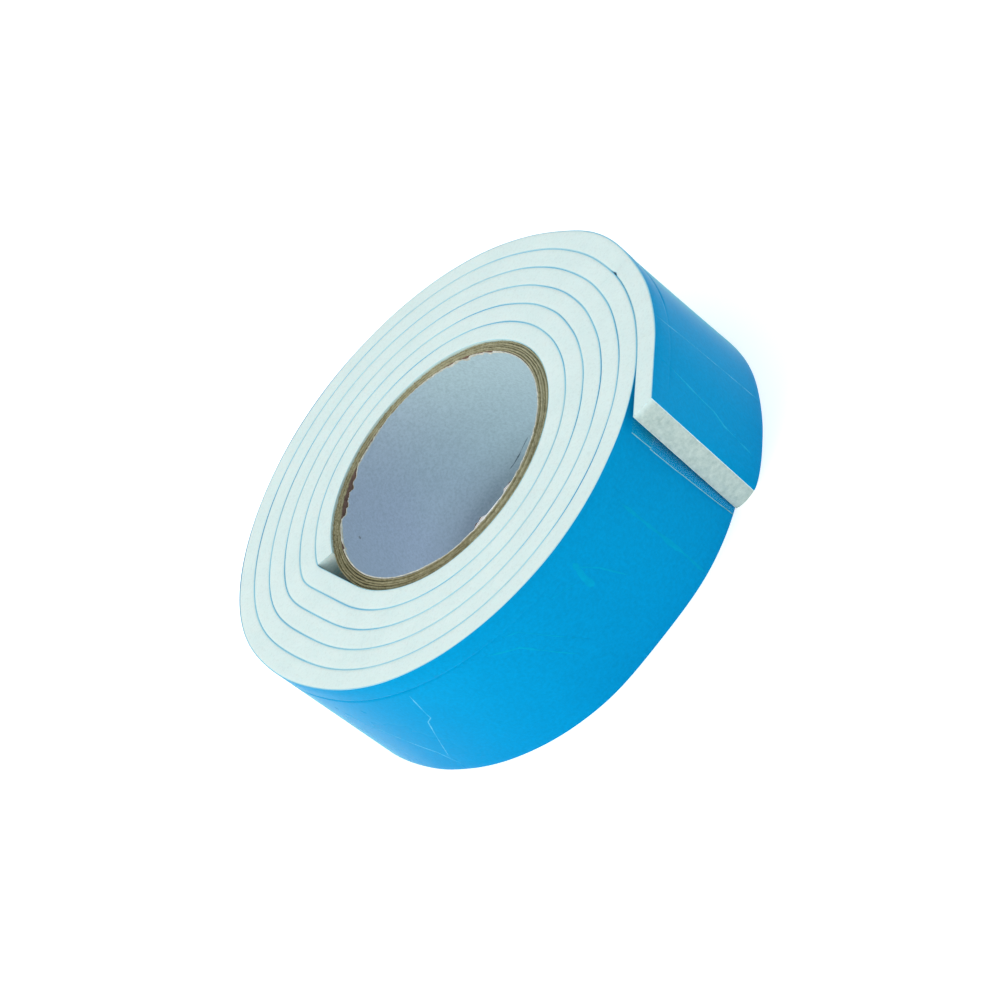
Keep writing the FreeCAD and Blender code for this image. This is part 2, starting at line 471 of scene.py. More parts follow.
def foam_material():
    """White closed-cell foam: a cool white with fine pores, painted shade in them, and a few brown specks.
    """
    n = Nodes("foam", roughness=0.85, specular=0.15)
    mottle = n.noise(160, 4, 0.6)
    tint = n.ramp(mottle, (0.3, (0.69, 0.845, 0.85)), (0.7, (0.735, 0.88, 0.88)))
    pores = n.noise(2600, 3, 0.65)
    # Painted shade: the pores are darkened a little, as shade in the pits.
    painted_pore_shade = n.ramp(pores, (0.33, (0.8, 0.8, 0.8)), (0.5, (1.0, 1.0, 1.0)))
    tint = n.mix(0.3, tint, n.mix(1.0, tint, painted_pore_shade, "MULTIPLY"))
    specks = n.cells(150)
    lot = n.noise(90, 1, 0.5)
    rare = n.maths("MULTIPLY", n.maths("LESS_THAN", specks, 0.045), n.maths("GREATER_THAN", lot, 0.66))
    tint = n.mix(rare, tint, (0.33, 0.27, 0.18))
    n.bump(n.maths("ADD", pores, n.maths("MULTIPLY", mottle, 0.6)), 0.00006, 0.5)
    n.shader.inputs["Subsurface Weight"].default_value = 0.25
    n.shader.inputs["Subsurface Radius"].default_value = (0.6, 0.9, 1.0)
    n.shader.inputs["Subsurface Scale"].default_value = 0.0006
    return n.colour(tint)


def cut_foam_material():
    """The guillotined end of the tape: the same foam, torn rough and greyer, with painted light making it
    paler towards the upper face.
    """
    n = Nodes("foam_cut_end", roughness=0.9, specular=0.1)
    mottle = n.noise(1300, 6, 0.75)
    tint = n.ramp(mottle, (0.3, (0.34, 0.46, 0.45)), (0.68, (0.53, 0.64, 0.61)))
    # Painted light: the end is paled to the foam's white towards the tape's upper face, as though lit more
    # there.
    pale_from, pale_over = 0.0228, 0.0016
    top = n.maths("MULTIPLY_ADD", n.coordinate("Z"), 1 / pale_over, -pale_from / pale_over, clamp=True)
    n.bump(mottle, 0.00012, 0.6)
    return n.colour(n.mix(top, tint, (0.69, 0.855, 0.86)))


def foam_edge_material():
    """Foam at its cut edges, which the blue film beside it tinges."""
    n = Nodes("foam_edge", roughness=0.85, specular=0.1)
    cloud = n.noise(700, 4, 0.7)
    return n.colour(n.ramp(cloud, (0.3, (0.44, 0.76, 0.86)), (0.7, (0.56, 0.82, 0.88))))


def liner_material():
    """Glossy blue release film, a little uneven in colour and in gloss."""
    n = Nodes("liner_film", roughness=0.38, specular=0.012)
    n.shader.inputs["Sheen Weight"].default_value = 0.62
    n.shader.inputs["Sheen Roughness"].default_value = 0.12
    n.shader.inputs["Sheen Tint"].default_value = (0.2, 1.0, 0.55, 1.0)
    cloud = n.noise(35, 4, 0.6)
    grain = n.noise(2200, 2, 0.6)
    base = n.ramp(cloud, (0.3, (0.0, 0.265, 0.56)), (0.7, (0.0, 0.295, 0.61)))
    fine = n.ramp(grain, (0.3, (0.92, 0.92, 0.92)), (0.7, (1.06, 1.06, 1.06)))
    gloss = n.maths("MULTIPLY_ADD", cloud, 0.08, 0.24)
    n.link(gloss, n.shader.inputs["Roughness"])
    n.bump(n.maths("ADD", grain, n.maths("MULTIPLY", cloud, 8.0)), 0.00003, 0.4)
    return n.colour(n.mix(1.0, base, fine, "MULTIPLY"))


def liner_edge_material():
    """Cut edge of the blue film, dulled and paled by the knife."""
    n = Nodes("liner_cut_edge", roughness=0.6, specular=0.1)
    cloud = n.noise(300, 4, 0.7)
    return n.colour(n.ramp(cloud, (0.3, (0.15, 0.53, 0.74)), (0.7, (0.27, 0.62, 0.79))))


def adhesive_material(name, dark, light):
    """Tacky clear coat: on the foam nearly white, and at its edge blue from the film beside it."""
    n = Nodes(name, roughness=0.3, specular=0.4)
    cloud = n.noise(420, 3, 0.6)
    n.bump(n.noise(900, 3, 0.6), 0.00004, 0.5)
    return n.colour(n.ramp(cloud, (0.3, dark), (0.7, light)))


def crease_material(name, dark, light, specular):
    """Film along a fold with a painted highlight: the sharper the fold, the paler the film."""
    n = Nodes(name, roughness=0.45, specular=specular)
    cloud = n.noise(800, 3, 0.7)
    return n.colour(n.ramp(cloud, (0.35, dark), (0.65, light)))


def film_material(name, dark, light, cover):
    """Clear film of the tape's start, more or less hazy."""
    n = Nodes(name, roughness=0.35, specular=0.05)
    haze = n.noise(260, 4, 0.65)
    n.shader.inputs["Alpha"].default_value = cover
    return n.colour(n.ramp(haze, (0.3, dark), (0.7, light)))


def film_edge_material():
    """Cut edge of the clear film, where it catches the light."""
    n = Nodes("clear_film_edge", roughness=0.4, specular=0.2)
    haze = n.noise(1200, 3, 0.6)
    return n.colour(n.ramp(haze, (0.3, (0.12, 0.42, 0.45)), (0.7, (0.27, 0.55, 0.56))))


def kraft_material(name, dark, light):
    """Brown paper ply: fibres along the bore, the thin rings of its sheets, and painted light that makes
    it paler towards +X.
    """
    n = Nodes(name, roughness=0.92, specular=0.1)
    fibres = n.noise(1500, 5, 0.7, n.stretch(1, 1, 0.35))
    cloud = n.noise(240, 4, 0.6)
    both = n.maths("ADD", n.maths("MULTIPLY", fibres, 0.65), n.maths("MULTIPLY", cloud, 0.35))
    strayed = n.maths("ADD", n.radius(), n.maths("MULTIPLY", cloud, 0.0002))
    sheets = n.maths("SINE", n.maths("MULTIPLY", strayed, 2 * math.pi / 0.00026))
    both = n.maths("ADD", both, n.maths("MULTIPLY", sheets, 0.07))
    # Painted light: the paper gets paler towards +X, as though lit more from that side.
    both = n.maths("ADD", both, n.maths("MULTIPLY", n.coordinate("X"), 4.2))
    n.bump(fibres, 0.00015, 0.9)
    return n.colour(n.ramp(both, (0.32, dark), (0.68, light)))


def torn_kraft_material():
    """Dark glued face of the innermost ply, bared where the lining is torn off."""
    n = Nodes("kraft_torn", roughness=0.95, specular=0.05)
    cloud = n.noise(900, 5, 0.7)
    return n.colour(n.ramp(cloud, (0.3, (0.11, 0.068, 0.055)), (0.7, (0.25, 0.165, 0.135))))


def lining_material():
    """Smooth pale paper inside the core, with fine speckle. Its colour is painted blue-grey as shade and
    bluish light, paler and greener towards +X as painted light, and darker at its foot as painted shade.
    """
    n = Nodes("lining_paper", roughness=0.7, specular=0.25)
    cloud = n.noise(60, 3, 0.5)
    grain = n.noise(2400, 4, 0.7)
    # Painted light: the paper gets paler and greener towards +X, as though lit more from that side.
    across = n.maths("MULTIPLY_ADD", n.coordinate("X"), 1 / 0.03, 0.25)
    tinge = n.maths("ADD", across, n.maths("MULTIPLY", cloud, 0.5))
    # Painted shade and light: the white paper is given a dim blue-grey, as the shade and bluish light
    # inside the bore.
    base = n.ramp(tinge, (0.1, (0.42, 0.515, 0.655)), (0.9, (0.43, 0.58, 0.635)))
    fine = n.ramp(grain, (0.32, (0.8, 0.83, 0.84)), (0.6, (1.08, 1.08, 1.08)))
    tint = n.mix(0.8, base, n.mix(1.0, base, fine, "MULTIPLY"))
    specks = n.maths("LESS_THAN", n.cells(420), 0.11)
    rare = n.maths("MULTIPLY", specks, n.maths("GREATER_THAN", n.noise(260, 1, 0.5), 0.66))
    tint = n.mix(n.maths("MULTIPLY", rare, 0.6), tint, (0.12, 0.13, 0.13))
    # Painted shade: the paper is darkened towards its foot, as shade near the floor.
    painted_foot_shade = n.ramp(n.coordinate("Z"), (0.0, (0.62, 0.62, 0.62)), (0.006, (1.0, 1.0, 1.0)))
    tint = n.mix(1.0, tint, painted_foot_shade, "MULTIPLY")
    n.bump(grain, 0.00003, 0.5)
    return n.colour(tint)


def torn_paper_material():
    """Pale torn fibre at the rim of the lining."""
    n = Nodes("torn_paper", roughness=0.9, specular=0.1)
    cloud = n.noise(1300, 4, 0.7)
    return n.colour(n.ramp(cloud, (0.3, (0.42, 0.42, 0.34)), (0.65, (0.78, 0.8, 0.74))))


def seam_shade_material():
    """Fold in the lining, painted dark as the shade along it."""
    n = Nodes("lining_seam", roughness=0.8, specular=0.1)
    # Painted shade: near-black to grey-blue along the fold.
    cloud = n.noise(1100, 4, 0.7)
    return n.colour(n.ramp(cloud, (0.35, (0.06, 0.08, 0.09)), (0.6, (0.22, 0.3, 0.35))))


def floor_material():
    """Plain pale studio floor."""
    n = Nodes("studio_floor", roughness=0.9, specular=0.0)
    n.shader.inputs["Emission Color"].default_value = (1, 1, 1, 1)
    n.shader.inputs["Emission Strength"].default_value = 0.48
    faint = n.noise(3, 2, 0.5)
    return n.colour(n.ramp(faint, (0.3, (0.93, 0.93, 0.93)), (0.7, (0.95, 0.95, 0.95))))


MATERIALS = {
    "foam": foam_material(),
    "cut_foam": cut_foam_material(),
    "liner_film": liner_material(),
    "liner_edge": liner_edge_material(),
    "foam_edge": foam_edge_material(),
    "adhesive": adhesive_material("adhesive", (0.56, 0.77, 0.8), (0.68, 0.85, 0.86)),
    "adhesive_edge": adhesive_material("adhesive_edge", (0.3, 0.65, 0.81), (0.4, 0.71, 0.83)),
    # The fold materials are painted paler than the film, as highlights along the folds.
    "crease": crease_material("creased_film", (0.02, 0.38, 0.65), (0.12, 0.48, 0.71), 0.15),
    "soft_crease": crease_material("softly_creased_film", (0.0, 0.335, 0.62), (0.01, 0.4, 0.67), 0.03),
    "faint_crease": crease_material("faintly_creased_film", (0.0, 0.295, 0.55), (0.0, 0.335, 0.59), 0.012),
    "clear_film": film_material("clear_film", (0.06, 0.6, 0.5), (0.12, 0.7, 0.6), 0.03),
    "patch_film": film_material("hazy_film", (0.25, 0.55, 0.7), (0.4, 0.65, 0.8), 0.025),
    "film_edge": film_edge_material(),
    "lining_paper": lining_material(),
    "torn_paper": torn_paper_material(),
    "lining_seam": seam_shade_material(),
    "kraft_torn": torn_kraft_material(),
    "kraft_dark": kraft_material("kraft_dark", (0.18, 0.165, 0.092), (0.4, 0.39, 0.255)),
    "kraft_light": kraft_material("kraft_light", (0.225, 0.21, 0.12), (0.49, 0.48, 0.33)),
    "floor": floor_material(),
}
SLOTS = {
    "inner_adhesive": "adhesive",
    "foam": "foam",
    "outer_adhesive": "adhesive",
    "liner": "liner_film",
}
EDGES = {
    "inner_adhesive": "adhesive_edge",
    "foam": "foam_edge",
    "outer_adhesive": "adhesive_edge",
    "liner": "liner_edge",
}


def mark_edges(piece, layer):
    """Gives a layer's cut edges their own material: on foam its rounded corners, else all."""
    piece.data.materials.append(MATERIALS[EDGES[layer]])
    least, most = (0.1, 0.99) if layer == "foam" else (0.7, 1.1)
    for face in piece.data.polygons:
        if least < abs(face.normal.z) < most:
            face.material_index = 1


def dress(piece, slot, *materials):
    """Gives a piece its materials. The slot argument is not used."""
    for name in materials:
        piece.data.materials.append(MATERIALS[name])
    return piece


# ---------------------------------------------------------------- tape pieces


def hinge_winding(number):
    """Winding angle of a tail hinge, counted from 1."""
    return TAIL_START + (number - 1) * BEND_ANGLE


# How far before its hinge each stretch of the tail starts, in degrees. The first starts at its hinge,
# clear of the roll, and the last one ends where the liner's flap starts.
LEAD_ANGLE = [0.0, 3.4, BEND_ANGLE / 2, BEND_ANGLE / 2]


def section_for(layer, dense):
    """Cross-section of a layer: rows close enough for what shows of it."""
    low, high = LAYERS[layer]
    if layer == "foam":
        return section_grid(low, high, z_rows(0.8 if dense else 4.0), 0.07, 12 if dense else 6)
    rows = z_rows(1.1 if layer == "liner" and dense else 4.0)
    return section_grid(low, high, rows, 0.015, 2)


def edge_waver(layer):
    """Uneven height of a layer's cut edge on the upper face."""
    if layer == "foam":
        return lambda w: 0.015 * np.sin(np.radians(37 * w) / 9)
    phase = {"inner_adhesive": 0.3, "outer_adhesive": 1.7, "liner": 2.9}[layer]
    depth = 0.03 if layer == "liner" else 0.02
    return lambda w: (
        depth * (np.sin(np.radians(w * 1.9) + phase) + np.sin(np.radians(w * 7.3) - phase)) - 0.2 * depth
    )


def dress_layer(piece, layer):
    """Materials of one layer."""
    dress(piece, SLOTS[layer], SLOTS[layer])
    mark_edges(piece, layer)


def wound_piece(layer):
    """One layer from the cut start to the root of the tail."""
    last_turn = TAIL_START - 362
    inner_turns = []
    for turn in range(FULL_TURNS):
        inner_turns += angles(360 * turn, 360 * turn + 300, 2.4)[:-1]
        inner_turns += angles(360 * turn + 300, 360 * turn + 360, 1.0)[:-1]
    stations = [s for s in inner_turns if s[0] < last_turn] + angles(last_turn, TAIL_START, 1.0)
    rough = 0.03 if layer == "foam" else 0
    piece = swept_strip(f"{layer}_turns", stations, section_for(layer, layer == "liner"), rough, 3,
                        edge_waver(layer))
    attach(piece, "root")
    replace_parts(piece, f"{layer}_wound")
    dress_layer(piece, layer)


def tail_piece(layer, number):
    """One layer of one stretch of the tail, from about its hinge to the next."""
    start = hinge_winding(number) - LEAD_ANGLE[number - 1]
    if number < len(HINGES):
        stations = angles(start, hinge_winding(number + 1) - LEAD_ANGLE[number], 0.5)
    else:
        reach = FLAP_START if layer == "liner" else END_LENGTH
        stations = angles(start, TAIL_END, 0.5)[:-1] + straight(0, reach, 0.3)
    last = number == len(HINGES)
    rough = 0.05 if layer == "foam" and last else 0
    piece = swept_strip(f"{layer}_tail_stretch_{number}", stations, section_for(layer, True), rough,
                        10 + number, edge_waver(layer))
    dress_layer(piece, layer)
    if layer == "foam" and last:
        roughen_cut(piece)
    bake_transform(piece)
    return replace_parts(piece, f"{layer}_tail_{number}")


def roughen_cut(piece):
    """Gives the cut end of the tape's foam its own, rougher material."""
    piece.data.materials.append(MATERIALS["cut_foam"])
    for face in piece.data.polygons:
        centre = face.center / MM
        if face.normal.dot(END_WAY) > 0.4 and centre.dot(END_WAY) > END_LENGTH - END_BEVEL - 1.6:
            face.material_index = 2


def flap_piece():
    """The liner over the straight end, from where its flap starts."""
    stations = straight(FLAP_START, END_LENGTH, 0.3)
    piece = swept_strip("liner_peeling_end", stations, section_for("liner", True), 0, 5,
                        edge_waver("liner"))
    dress_layer(piece, "liner")
    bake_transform(piece)
    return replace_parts(piece, "liner_flap")


# ---------------------------------------------------------------- starter film


def film_sheet(name, depth, front, back, top, ragged, seed, tongue=0.0):
    """Thin clear film at this depth below the inner face of the tail's end.

    It reaches to front along the tail at its top and to back at its bottom, give or take ragged,
    but below the height tongue it ends under the tail.
    """
    random = np.random.default_rng(seed)
    rows = np.linspace(0.05, top, FILM_ROWS)
    share = np.append(np.linspace(0, 1 - FILM_RIM, FILM_COLUMNS - 1), 1)
    waver = np.convolve(random.normal(size=len(rows) + 8), np.ones(5) / 5, "same")[4:-4]
    edge = np.interp(rows, [0, top], [back, front]) + ragged * waver
    edge = np.where(rows < tongue, END_LENGTH - 0.3, edge)
    z = rows[:, None]
    along = FILM_START + (edge[:, None] - FILM_START) * share
    past = np.clip(along - END_LENGTH, 0, None)
    under = tape_points(TAIL_END, np.minimum(along, END_LENGTH), 0.0, z)
    droop = (2 * BACK_DROP / END_LENGTH + 0.06) * (1 - z / TAPE_WIDTH) * past
    sag = depth + droop + 0.01 * np.sin(2.1 * along + 0.4 * z)
    upper = under + past[..., None] * np.array(END_WAY) - sag[..., None] * np.array(END_OUT)
    lower = upper - FILM_THICK * np.array(END_OUT)
    verts = list(upper.reshape(-1, 3)) + list(lower.reshape(-1, 3))
    n, m = along.shape
    faces = []
    for side in (0, 1):
        for r in range(n - 1):
            for c in range(m - 1):
                a = side * n * m + r * m + c
                quad = (a, a + 1, a + m + 1, a + m)
                faces.append(quad if side == 0 else quad[::-1])
    rim = loop_of((n, m))
    for (r, c), (r2, c2) in zip(rim, rim[1:] + rim[:1]):
        near, far = r * m + c, r2 * m + c2
        faces.append((near, far, far + n * m, near + n * m))
    return finish_mesh(name, verts, faces, 50)


def starter_film():
    """Clear film and a hazier patch, which stick out side by side from under the free end."""
    film = film_sheet("starter_film_sheet", depth=0.03, front=13.6, back=11.6, top=FILM_TOP,
                      ragged=0.02, seed=8, tongue=PATCH_TOP - 0.4)
    dress(film, "clear_film", "clear_film", "film_edge")
    pale_free_edge(film)
    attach(film, "tail_4")
    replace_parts(film, "starter_film")
    patch = film_sheet("starter_patch_sheet", depth=0.15, front=13.35, back=11.75, top=PATCH_TOP,
                       ragged=0.03, seed=9)
    dress(patch, "clear_film", "patch_film", "film_edge")
    pale_free_edge(patch)
    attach(patch, "tail_4")
    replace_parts(patch, "starter_patch")


def pale_free_edge(sheet):
    """Gives a film's free edge and a narrow rim beside it, which catch the light, a paler material."""
    for face in sheet.data.polygons:
        last_column = face.index % (FILM_COLUMNS - 1) == FILM_COLUMNS - 2
        on_top = face.index < (FILM_ROWS - 1) * (FILM_COLUMNS - 1)
        if face.normal.dot(END_WAY) > 0.8 or (last_column and on_top):
            face.material_index = 1


# ---------------------------------------------------------------- creases

# Spacing of a crease's points, and about how far a degree of angle is on the outer turn.
CREASE_STEP = 0.35
MM_PER_DEGREE = 0.65


def crease(name, points, width, surface, seed, facing=1):
    """Ridge along a fold in a film or paper, pointed at its ends. Facing is -1 in the bore."""
    random = np.random.default_rng(seed)
    path = []
    for (u0, z0), (u1, z1) in zip(points, points[1:]):
        length = math.hypot((u1 - u0) * MM_PER_DEGREE, z1 - z0)
        steps = max(2, int(length / CREASE_STEP))
        path += [(u0 + (u1 - u0) * k / steps, z0 + (z1 - z0) * k / steps) for k in range(steps)]
    path.append(points[-1])
    path = np.array(path)
    count = len(path)
    here = surface(path[:, 0], path[:, 1], 0.004)
    way = np.gradient(here, axis=0)
    way /= np.linalg.norm(way, axis=1)[:, None]
    radial = here * np.array([1, 1, 0])
    radial /= np.linalg.norm(radial, axis=1)[:, None]
    side = np.cross(way, radial)
    share = np.linspace(0, 1, count)
    uneven = 0.75 + 0.35 * np.convolve(random.normal(size=count + 6), np.ones(7) / 2.6, "valid")
    half = width / 2 * np.clip(uneven, 0.3, 1.6) * np.minimum(1, np.minimum(share, 1 - share) * 9 + 0.08)
    profile = [(-1, -0.03), (-0.4, 0.012), (0, 0.022), (0.4, 0.012), (1, -0.03)]
    verts = [h + s * half_k * a + r * b * facing for h, s, r, half_k in zip(here, side, radial, half)
             for a, b in profile]
    m = len(profile)
    faces = [(k * m + j, k * m + (j + 1) % m, (k + 1) * m + (j + 1) % m, (k + 1) * m + j)
             for k in range(count - 1) for j in range(m)]
    faces += [tuple(range(m))[::-1], tuple((count - 1) * m + j for j in range(m))]
    return finish_mesh(name, verts, faces, 60)


def on_tread(turn):
    """Surface of the liner on this turn, given by angle from +X and height."""
    return lambda angle, z, lift: tape_points(winding_of(angle, turn), 0.0, PITCH + lift, z)


def on_bore(angle, z, lift):
    """Surface of the lining, given by angle from +X and height."""
    turn = np.radians(angle)
    radius = BORE_RADIUS - lift
    return np.stack([radius * np.cos(turn), radius * np.sin(turn), np.broadcast_to(z, turn.shape)], -1)


def winding_of(angle, turn):
    """Winding angle of the point that lies in this direction on this turn."""
    return (START_ANGLE - angle) % 360 + 360 * turn


def on_flap(along, z, lift):
    """Surface of the liner on the straight end."""
    return tape_points(TAIL_END, along, PITCH + lift, z)


# Turns, counted from 0: the one below the tail, and the one that the tail is part of.
BELOW, ABOVE = 4, 5

# Folds in the turn below the tail: name, width, material, and points as (angle from +X, height).
ROOT_CREASES = [
    ("crease_zigzag", 0.22, "crease",
     [(222.5, 19.7), (220.7, 15.1), (220.4, 13.9), (218.5, 13.2), (210.6, 3.4)]),
    ("crease_faint", 0.2, "crease", [(194.8, 16.1), (202.0, 10.9), (209.3, 5.3), (211.6, 1.4)]),
    ("crease_upright", 0.75, "faint_crease", [(287.2, 19.6), (287.3, 12.9), (287.5, 6.6), (287.2, 0.5)]),
    ("crease_streak_1", 0.5, "faint_crease", [(243.4, 19.6), (250.2, 17.0), (256.8, 9.3)]),
    ("crease_streak_2", 0.3, "faint_crease", [(249.5, 20.2), (252.7, 19.2), (261.0, 9.5)]),
    ("crease_streak_3", 0.35, "faint_crease", [(271.0, 19.3), (273.8, 16.2), (276.7, 10.8)]),
    ("crease_leaf", 1.5, "faint_crease", [(271.2, 20.2), (270.2, 17.5), (270.0, 15.1)]),
    ("crease_short", 0.2, "faint_crease", [(262.2, 19.3), (268.4, 17.7)]),
]


def creases():
    """Folds pressed into the liner by handling."""
    for number, (name, width, material, points) in enumerate(ROOT_CREASES):
        mark = crease(name, points, width, on_tread(BELOW), 63 + number)
        dress(mark, "liner_film", material)
        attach(mark, "root")
    long_fold = crease("crease_across", [(328.7, 23.7), (329.6, 15.5), (330.1, 5.0), (330.2, 0.3)], 0.2,
                       on_tread(ABOVE), 61)
    dress(long_fold, "liner_film", "crease")
    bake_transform(long_fold)
    wavy = crease("crease_wavy",
                  [(0.92, 22.6), (0.98, 20.4), (1.9, 14.5), (2.2, 11.0), (3.2, 8.6), (4.0, 2.0)],
                  0.42, on_flap, 62)
    dress(wavy, "liner_film", "soft_crease")
    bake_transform(wavy)


# ---------------------------------------------------------------- core


def rim_height(radius):
    """Height of the core's sawn rim, which slopes down a little outwards."""
    return CORE_LENGTH + 0.15 - 0.35 * (radius - BORE_RADIUS - LINING) / (PLY_COUNT * PLY)


def fuzzy_ring(name, inner, outer, length, seed, ragged, columns=900):
    """Paper ring whose upper edge is torn a little rough."""
    random = np.random.default_rng(seed)
    angle = np.linspace(0, 2 * math.pi, columns, endpoint=False)

    def uneven(width):
        """Random values round the ring, smoothed over this many columns."""
        raw = random.normal(size=columns)
        kernel = np.hanning(width + 2)[1:-1]
        tiled = np.concatenate([raw[-width:], raw, raw[:width]])
        soft = np.convolve(tiled, kernel / np.sqrt((kernel**2).sum()), "same")
        return soft[width:-width]

    top = length + ragged * (0.5 * uneven(5) + 0.5 * uneven(41)).clip(-2, 1.2)
    shift = 0.022 * uneven(31).clip(-2, 2)
    thick = outer - inner
    profile = [(0.0, 0.0), (0.0, 0.25), (0.0, 0.5), (0.0, 0.75), (0.0, 0.93), (0.03, 0.985),
               (0.15, 1.0), (0.5, 1.004), (0.85, 1.0), (0.97, 0.985), (1.0, 0.93), (1.0, 0.75),
               (1.0, 0.5), (1.0, 0.25), (1.0, 0.0), (0.5, 0.0)]
    verts = []
    for k, a in enumerate(angle):
        for across, up in profile:
            frayed = random.normal() * 0.03 * (up > 0.97)
            r = inner + thick * across + (shift[k] + frayed * 0.6) * (up > 0.9)
            z = up * top[k] + frayed
            verts.append((r * math.cos(a), r * math.sin(a), max(z, 0.0)))
    m = len(profile)
    faces = []
    for k in range(columns):
        nxt = (k + 1) % columns
        for j in range(m):
            faces.append((k * m + j, nxt * m + j, nxt * m + (j + 1) % m, k * m + (j + 1) % m))
    return finish_mesh(name, verts, faces, 70)


def add_fibres(piece, inner, outer, count, seed):
    """Loose paper fibres standing up along a ply's cut rim."""
    random = np.random.default_rng(seed)
    verts, faces = [], []
    for number in range(count):
        a = random.uniform(0, 2 * math.pi)
        r = random.uniform(inner, outer)
        lean = random.normal(0, 0.9, 3)
        way = np.array([lean[0], lean[1], 0.35 + abs(lean[2]) * 0.4])
        way /= np.linalg.norm(way)
        root = np.array([r * math.cos(a), r * math.sin(a), rim_height(r) - 0.12])
        length = random.uniform(0.12, 0.36)
        bend = random.normal(0, 0.1, 3)
        side = np.cross(way, [0.3, 0.2, 1.0])
        side /= np.linalg.norm(side)
        up = np.cross(side, way)
        base = 9 * number
        for share, half in ((0, 0.016), (0.5, 0.012), (1.0, 0.003)):
            middle = root + way * length * share + bend * share**2
            for turn in (0, 2.1, 4.2):
                verts.append(middle + half * (math.cos(turn) * side + math.sin(turn) * up))
        for ring in (0, 3):
            for j in range(3):
                a0, a1 = base + ring + j, base + ring + (j + 1) % 3
                faces.append((a0, a1, a1 + 3, a0 + 3))
        faces += [(base, base + 2, base + 1), (base + 6, base + 7, base + 8)]
    fibres = finish_mesh(f"{piece.name}_fibres", verts, faces, 180)
    fibres.data.materials.append(MATERIALS["kraft_light"])
    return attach(fibres, "root")


def bare_bore_side(piece):
    """Gives the innermost ply's inner face, up to the rim, its own material."""
    piece.data.materials.append(MATERIALS["kraft_torn"])
    for face in piece.data.polygons:
        x, y, z = face.center
        inward = face.normal.x * x + face.normal.y * y < -0.9 * math.hypot(x, y)
        if inward and z < rim_height(BORE_RADIUS) * MM:
            face.material_index = 1


def core_pieces():
    """Five plies of brown paper and the pale lining."""
    for number in range(1, PLY_COUNT + 1):
        inner = BORE_RADIUS + LINING + (number - 1) * PLY
        piece = fuzzy_ring(f"kraft_ply_{number}", inner + 0.012, inner + PLY - 0.012,
                           rim_height(inner + PLY / 2), 20 + number, 0.045)
        dress(piece, "kraft_paper", "kraft_dark" if number % 2 else "kraft_light")
        if number == 1:
            bare_bore_side(piece)
        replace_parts(piece, f"core_ply_{number}")
        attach(piece, "root")
        add_fibres(piece, inner, inner + PLY, 170, 40 + number)
    lining = lining_piece()
    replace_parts(lining, "core_lining")
    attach(lining, "root")
    lining_seam()


# Where the lining is torn back, at its upper and lower edges: direction, half width, depth.
UPPER_TEARS = [(24, 2, 0.3), (30, 2, 0.15), (40, 2.5, 0.3), (49, 2, 0.15), (120, 5, 0.5), (129, 7, 1.0),
               (138, 4, 0.6), (160, 2, 0.4), (181, 1.5, 0.2), (244, 7, 0.12)]
LOWER_TEARS = [(78, 4, 0.5), (100.5, 4, 0.45)]

# Where the lining's edge is split and shows white: direction, half width, depth.
WHITE_EDGES = [(36, 26, 0.3), (170, 30, 0.3), (104, 12, 0.12), (245, 20, 0.2)]


def edge_bites(angle, bites, jag):
    """Depth of the deepest bite out of a ring's edge, at each angle."""
    deepest = np.zeros(len(angle))
    for centre, half, depth in bites:
        gap = (angle - centre + 180) % 360 - 180
        deepest = np.maximum(deepest, depth * np.exp(-((gap / half) ** 4)) * jag)
    return deepest


def lining_piece():
    """Pale paper inside the bore, its edges torn back here and there."""
    columns = 1440
    random = np.random.default_rng(77)
    angle = np.degrees(np.linspace(0, 2 * math.pi, columns, endpoint=False))
    raw = random.normal(size=columns)
    tiled = np.concatenate([raw[-9:], raw, raw[:9]])
    fine = np.convolve(tiled, np.hanning(9) / 2, "same")[9:-9]
    slow = np.convolve(np.concatenate([raw[-30:], raw, raw[:30]]), np.hanning(25) / 3, "same")[30:-30]
    jag = (1 + 0.12 * fine + 0.25 * slow).clip(0.3, 1.6)
    top = CORE_LENGTH + 0.17 + 0.04 * fine.clip(-2, 1) - edge_bites(angle, UPPER_TEARS, jag)
    low = edge_bites(angle, LOWER_TEARS, jag)
    white = 0.05 + edge_bites(angle, WHITE_EDGES, jag)
    lean = 0.16 * hump(angle, 104, 9)
    loose = 0.75 * hump(angle, 88, 17)
    shares = [0, 0.01, 0.02, 0.03, 0.045, 0.06, 0.08, 0.12, 0.2, 0.3, 0.4, 0.5, 0.6, 0.7, 0.8, 0.9]
    shares += [0.94, 0.96, 0.97, 0.978, 0.984, 0.988, 0.992, 0.995, 0.998, 1.0]
    verts = []
    for k, a in enumerate(np.radians(angle)):
        height = top[k] - low[k]
        for inset, drop, way in ((0.0, 0.0, 1), (LINING - 0.01, 0.03, -1)):
            for share in shares[::way]:
                inwards = lean[k] * ease(share, 0.93, 1.0) + loose[k] * ease(-share, -0.08, 0)
                r = BORE_RADIUS + inset - inwards
                verts.append((r * math.cos(a), r * math.sin(a), low[k] + share * (height - drop)))
    m = 2 * len(shares)
    faces = []
    for k in range(columns):
        nxt = (k + 1) % columns
        for j in range(m):
            faces.append((k * m + j, k * m + (j + 1) % m, nxt * m + (j + 1) % m, nxt * m + j))
    piece = finish_mesh("bore_lining", verts, faces, 60)
    dress(piece, "lining_paper", "lining_paper", "torn_paper")
    for face in piece.data.polygons:
        x, y, z = face.center / MM
        k = int(round(math.degrees(math.atan2(y, x)) % 360 / 360 * columns)) % columns
        if z > top[k] - white[k]:
            face.material_index = 1
    return piece


def lining_seam():
    """Fold that runs down the lining towards its lower edge, dark with painted shade."""
    points = [(52.7, 4.8), (62.9, 2.9), (68.0, 2.2), (72.0, 1.9)]
    seam = crease("lining_fold", points, 0.3, on_bore, 80, -1)
    dress(seam, "lining_paper", "lining_seam")
    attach(seam, "root")


